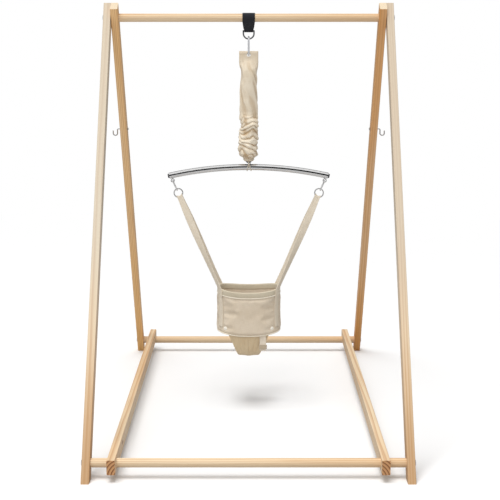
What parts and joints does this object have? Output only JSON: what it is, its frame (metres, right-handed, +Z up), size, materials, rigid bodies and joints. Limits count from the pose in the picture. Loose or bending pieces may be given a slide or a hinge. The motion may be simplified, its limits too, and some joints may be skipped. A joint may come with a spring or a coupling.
{
  "type": "baby jumper stand",
  "caption": "Folding wooden A-frame stand with a hanging baby jumper: webbing hanger, sleeved spring, curved spreader bar and a soft harness seat for bouncing",
  "frame": {"origin": "on the floor, under the middle of the top dowel", "axes": "+X to the right across the stand, +Y from front to back, +Z up"},
  "size_m": [0.886, 1.4492, 1.2596],
  "materials": {
    "wood": "sanded pine under clear matt oil",
    "zinc": "zinc plated",
    "nylon": "natural nylon",
    "insert_brass": "turned brass",
    "bright_steel": "polished nickel plate",
    "dark_metal": "gunmetal plate",
    "spring_steel": "zinc plated spring wire",
    "black_webbing": "woven nylon webbing",
    "sleeve_cloth": "cotton cloth",
    "cord": "braided cotton cord",
    "beige_webbing": "woven cotton webbing",
    "seat_cloth": "padded cotton twill",
    "grey_plastic": "moulded plastic",
    "white_plastic": "moulded plastic",
    "dark_plastic": "moulded plastic"
  },
  "bodies": {
    "front_frame": {"front_leg_left": "wood", "front_leg_right": "wood", "top_dowel": "wood", "front_dowel": "wood", "pivot_bolts": "zinc", "front_dowel_bolts": "zinc", "pivot_washers": "nylon", "front_frame_inserts": "insert_brass"},
    "rear_frame": {"rear_leg_left": "wood", "rear_leg_right": "wood", "rear_dowel": "wood", "rear_dowel_bolts": "zinc", "rear_dowel_inserts": "insert_brass", "side_hook_left": "bright_steel", "side_hook_right": "bright_steel", "side_hook_nuts": "zinc"},
    "left_rail": {"base_rail_left": "wood"},
    "right_rail": {"base_rail_right": "wood"},
    "hanger": {"hanger_strap": "black_webbing"},
    "ring_link": {"d_ring": "dark_metal"},
    "carabiner_link": {"carabiner": "bright_steel", "carabiner_pin": "bright_steel", "spring": "spring_steel", "sleeve_header": "sleeve_cloth", "spring_sleeve": "sleeve_cloth"},
    "carabiner_latch": {"carabiner_gate": "bright_steel"},
    "spring_foot": {"sleeve_tie": "cord"},
    "bar": {"spreader_bar": "bright_steel", "bar_end_plugs": "grey_plastic", "bar_eyes": "bright_steel", "bar_lashing": "cord"},
    "seat": {"snap_hook_left": "bright_steel", "snap_hook_right": "bright_steel", "snap_pins": "bright_steel", "strap_rings": "bright_steel", "strap_left": "beige_webbing", "strap_right": "beige_webbing", "seat_band": "seat_cloth", "seat_binding": "seat_cloth", "seat_sling": "seat_cloth", "press_studs": "white_plastic", "adjuster_tab": "beige_webbing", "adjuster_buckle": "dark_plastic"},
    "left_latch": {"snap_gate_left": "bright_steel"},
    "right_latch": {"snap_gate_right": "bright_steel"}
  },
  "joints": [
    {"name": "fold", "type": "hinge", "parent": "front_frame", "child": "rear_frame", "pos_m": [0, 0, 1.215], "axis": [1, 0, 0], "range_deg": [-54, 0]},
    {"name": "rail_left_lift", "type": "hinge", "parent": "front_frame", "child": "left_rail", "pos_m": [-0.361, -0.67666, 0.043], "axis": [1, 0, 0], "range_deg": [0, 57.6]},
    {"name": "rail_right_lift", "type": "hinge", "parent": "front_frame", "child": "right_rail", "pos_m": [0.361, -0.67666, 0.043], "axis": [1, 0, 0], "range_deg": [0, 57.6]},
    {"name": "hanger_swing", "type": "hinge", "parent": "front_frame", "child": "hanger", "pos_m": [0, 0, 1.215], "axis": [1, 0, 0], "range_deg": [-20, 20]},
    {"name": "ring_swing", "type": "hinge", "parent": "hanger", "child": "ring_link", "pos_m": [0, 0, 1.176], "axis": [1, 0, 0], "range_deg": [-35, 35]},
    {"name": "carabiner_swing", "type": "hinge", "parent": "ring_link", "child": "carabiner_link", "pos_m": [0, 0, 1.168], "axis": [0, 1, 0], "range_deg": [-8, 8]},
    {"name": "carabiner_gate_open", "type": "hinge", "parent": "carabiner_link", "child": "carabiner_latch", "pos_m": [0, 0.00788, 1.11319], "axis": [1, 0, 0], "range_deg": [0, 22], "stiffness_Nm_per_rad": 0.03, "springref_deg": -20.05},
    {"name": "bounce", "type": "slide", "parent": "carabiner_link", "child": "spring_foot", "axis": [0, 0, 1], "range_m": [-0.1, 0], "stiffness_N_per_m": 800, "springref_m": 0.025, "deforming": ["spring", "spring_sleeve"]},
    {"name": "bar_tilt", "type": "hinge", "parent": "spring_foot", "child": "bar", "pos_m": [0, 0, 0.77385], "axis": [0, 1, 0], "range_deg": [-8, 8]},
    {"name": "seat_swing", "type": "hinge", "parent": "bar", "child": "seat", "pos_m": [0, 0, 0.71371], "axis": [1, 0, 0], "range_deg": [-25, 25]},
    {"name": "left_gate_open", "type": "hinge", "parent": "seat", "child": "left_latch", "pos_m": [-0.2251, 0.00476, 0.69372], "axis": [0.9141, 0, 0.4055], "range_deg": [0, 22], "stiffness_Nm_per_rad": 0.015, "springref_deg": -20.05},
    {"name": "right_gate_open", "type": "hinge", "parent": "seat", "child": "right_latch", "pos_m": [0.2251, 0.00476, 0.69372], "axis": [0.9141, 0, -0.4055], "range_deg": [0, 22], "stiffness_Nm_per_rad": 0.015, "springref_deg": -20.05}
  ],
  "couplings": [
    {"joint": "rail_left_lift", "follows": "fold", "ratio": -1.065},
    {"joint": "rail_right_lift", "follows": "fold", "ratio": -1.065}
  ]
}
